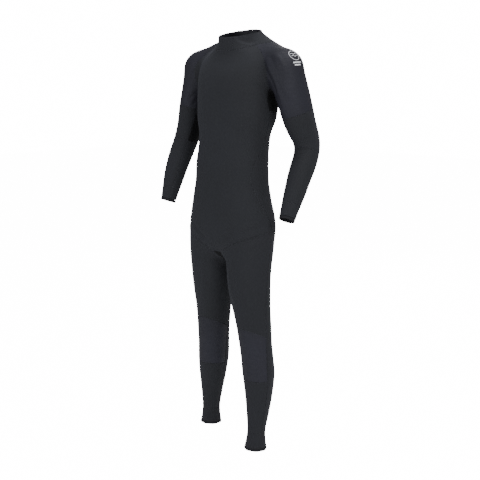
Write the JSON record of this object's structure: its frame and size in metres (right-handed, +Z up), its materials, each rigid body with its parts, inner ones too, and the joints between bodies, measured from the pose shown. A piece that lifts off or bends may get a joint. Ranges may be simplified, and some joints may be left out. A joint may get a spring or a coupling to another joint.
{
  "type": "full wetsuit",
  "caption": "Full-length back-zip wetsuit with long pre-bent sleeves, stand-up collar, smooth shoulder panels and shaped knee panels.",
  "frame": {"origin": "on the plane of the ankle hems, midway between the feet of the standing wearer", "axes": "+Z up the standing wearer, -Y to the wearer's front, +X to the wearer's left"},
  "size_m": [0.5825, 0.2634, 1.4556],
  "materials": {
    "neoprene_jersey": "matt knitted jersey bonded to foamed rubber",
    "smooth_skin": "satin smooth-skin foamed rubber with a faint blue sheen",
    "gusset_jersey": "darker stretch jersey bonded to foamed rubber",
    "binding": "folded jersey hem and strap",
    "zip_nylon": "woven tape and nylon coil",
    "zip_metal": "dark coated zinc",
    "hook_and_loop": "hook and loop pile",
    "badge_print": "heat-pressed pale print"
  },
  "bodies": {
    "suit": {"front_panel": "neoprene_jersey", "seat_panel": "neoprene_jersey", "crotch_gusset": "gusset_jersey", "back_panel_left": "neoprene_jersey", "side_panel_upper_left": "neoprene_jersey", "side_panel_lower_left": "neoprene_jersey", "shoulder_panel_left": "smooth_skin", "upper_sleeve_left": "neoprene_jersey", "underarm_sleeve_left": "gusset_jersey", "underarm_gusset_left": "gusset_jersey", "thigh_front_left": "neoprene_jersey", "thigh_back_left": "neoprene_jersey", "back_panel_right": "neoprene_jersey", "side_panel_upper_right": "neoprene_jersey", "side_panel_lower_right": "neoprene_jersey", "shoulder_panel_right": "smooth_skin", "upper_sleeve_right": "neoprene_jersey", "underarm_sleeve_right": "gusset_jersey", "underarm_gusset_right": "gusset_jersey", "thigh_front_right": "neoprene_jersey", "thigh_back_right": "neoprene_jersey", "collar_right": "neoprene_jersey", "collar_left": "neoprene_jersey", "collar_loop_patch": "hook_and_loop", "zip_tape_left": "zip_nylon", "zip_coil_left": "zip_nylon", "zip_top_stop_left": "zip_metal", "zip_tape_right": "zip_nylon", "zip_coil_right": "zip_nylon", "zip_top_stop_right": "zip_metal", "zip_bottom_stop": "zip_metal", "zip_backing_flap": "neoprene_jersey", "shoulder_badge_left": "badge_print"},
    "forearm_left": {"forearm_outer_left": "neoprene_jersey", "forearm_inner_left": "neoprene_jersey", "wrist_cuff_left": "neoprene_jersey", "wrist_hem_left": "binding"},
    "forearm_right": {"forearm_outer_right": "neoprene_jersey", "forearm_inner_right": "neoprene_jersey", "wrist_cuff_right": "neoprene_jersey", "wrist_hem_right": "binding"},
    "lower_leg_left": {"knee_panel_left": "smooth_skin", "shin_panel_left": "neoprene_jersey", "calf_panel_left": "neoprene_jersey", "ankle_cuff_left": "neoprene_jersey", "ankle_hem_left": "binding"},
    "lower_leg_right": {"knee_panel_right": "smooth_skin", "shin_panel_right": "neoprene_jersey", "calf_panel_right": "neoprene_jersey", "ankle_cuff_right": "neoprene_jersey", "ankle_hem_right": "binding"},
    "zip_slider": {"zip_slider": "zip_metal"},
    "zip_pull": {"zip_pull": "zip_metal"},
    "collar_tab": {"collar_tab": "binding", "collar_tab_hook_patch": "hook_and_loop"}
  },
  "joints": [
    {"name": "zip_slide", "type": "slide", "parent": "suit", "child": "zip_slider", "axis": [0, -0.0479, -0.9989], "range_m": [0, 0.441]},
    {"name": "zip_pull_swing", "type": "hinge", "parent": "zip_slider", "child": "zip_pull", "pos_m": [0, 0.11733, 1.40765], "axis": [1, 0, 0], "range_deg": [0, 160]},
    {"name": "collar_tab_opening", "type": "hinge", "parent": "suit", "child": "collar_tab", "pos_m": [0.0438, 0.1101, 1.441], "axis": [0, 0, -1], "range_deg": [0, 120]},
    {"name": "elbow_left", "type": "hinge", "parent": "suit", "child": "forearm_left", "pos_m": [0.2461, 0.06092, 1.05637], "axis": [-0.998, -0.015, -0.061], "range_deg": [0, 60]},
    {"name": "elbow_right", "type": "hinge", "parent": "suit", "child": "forearm_right", "pos_m": [-0.2354, -0.03259, 1.07804], "axis": [-0.9846, 0.051, 0.1669], "range_deg": [0, 60]},
    {"name": "knee_left", "type": "hinge", "parent": "suit", "child": "lower_leg_left", "pos_m": [0.1264, 0.03949, 0.37468], "axis": [1, 0, 0], "range_deg": [0, 60]},
    {"name": "knee_right", "type": "hinge", "parent": "suit", "child": "lower_leg_right", "pos_m": [-0.1161, 0.08278, 0.37329], "axis": [1, 0, 0], "range_deg": [0, 60]}
  ]
}
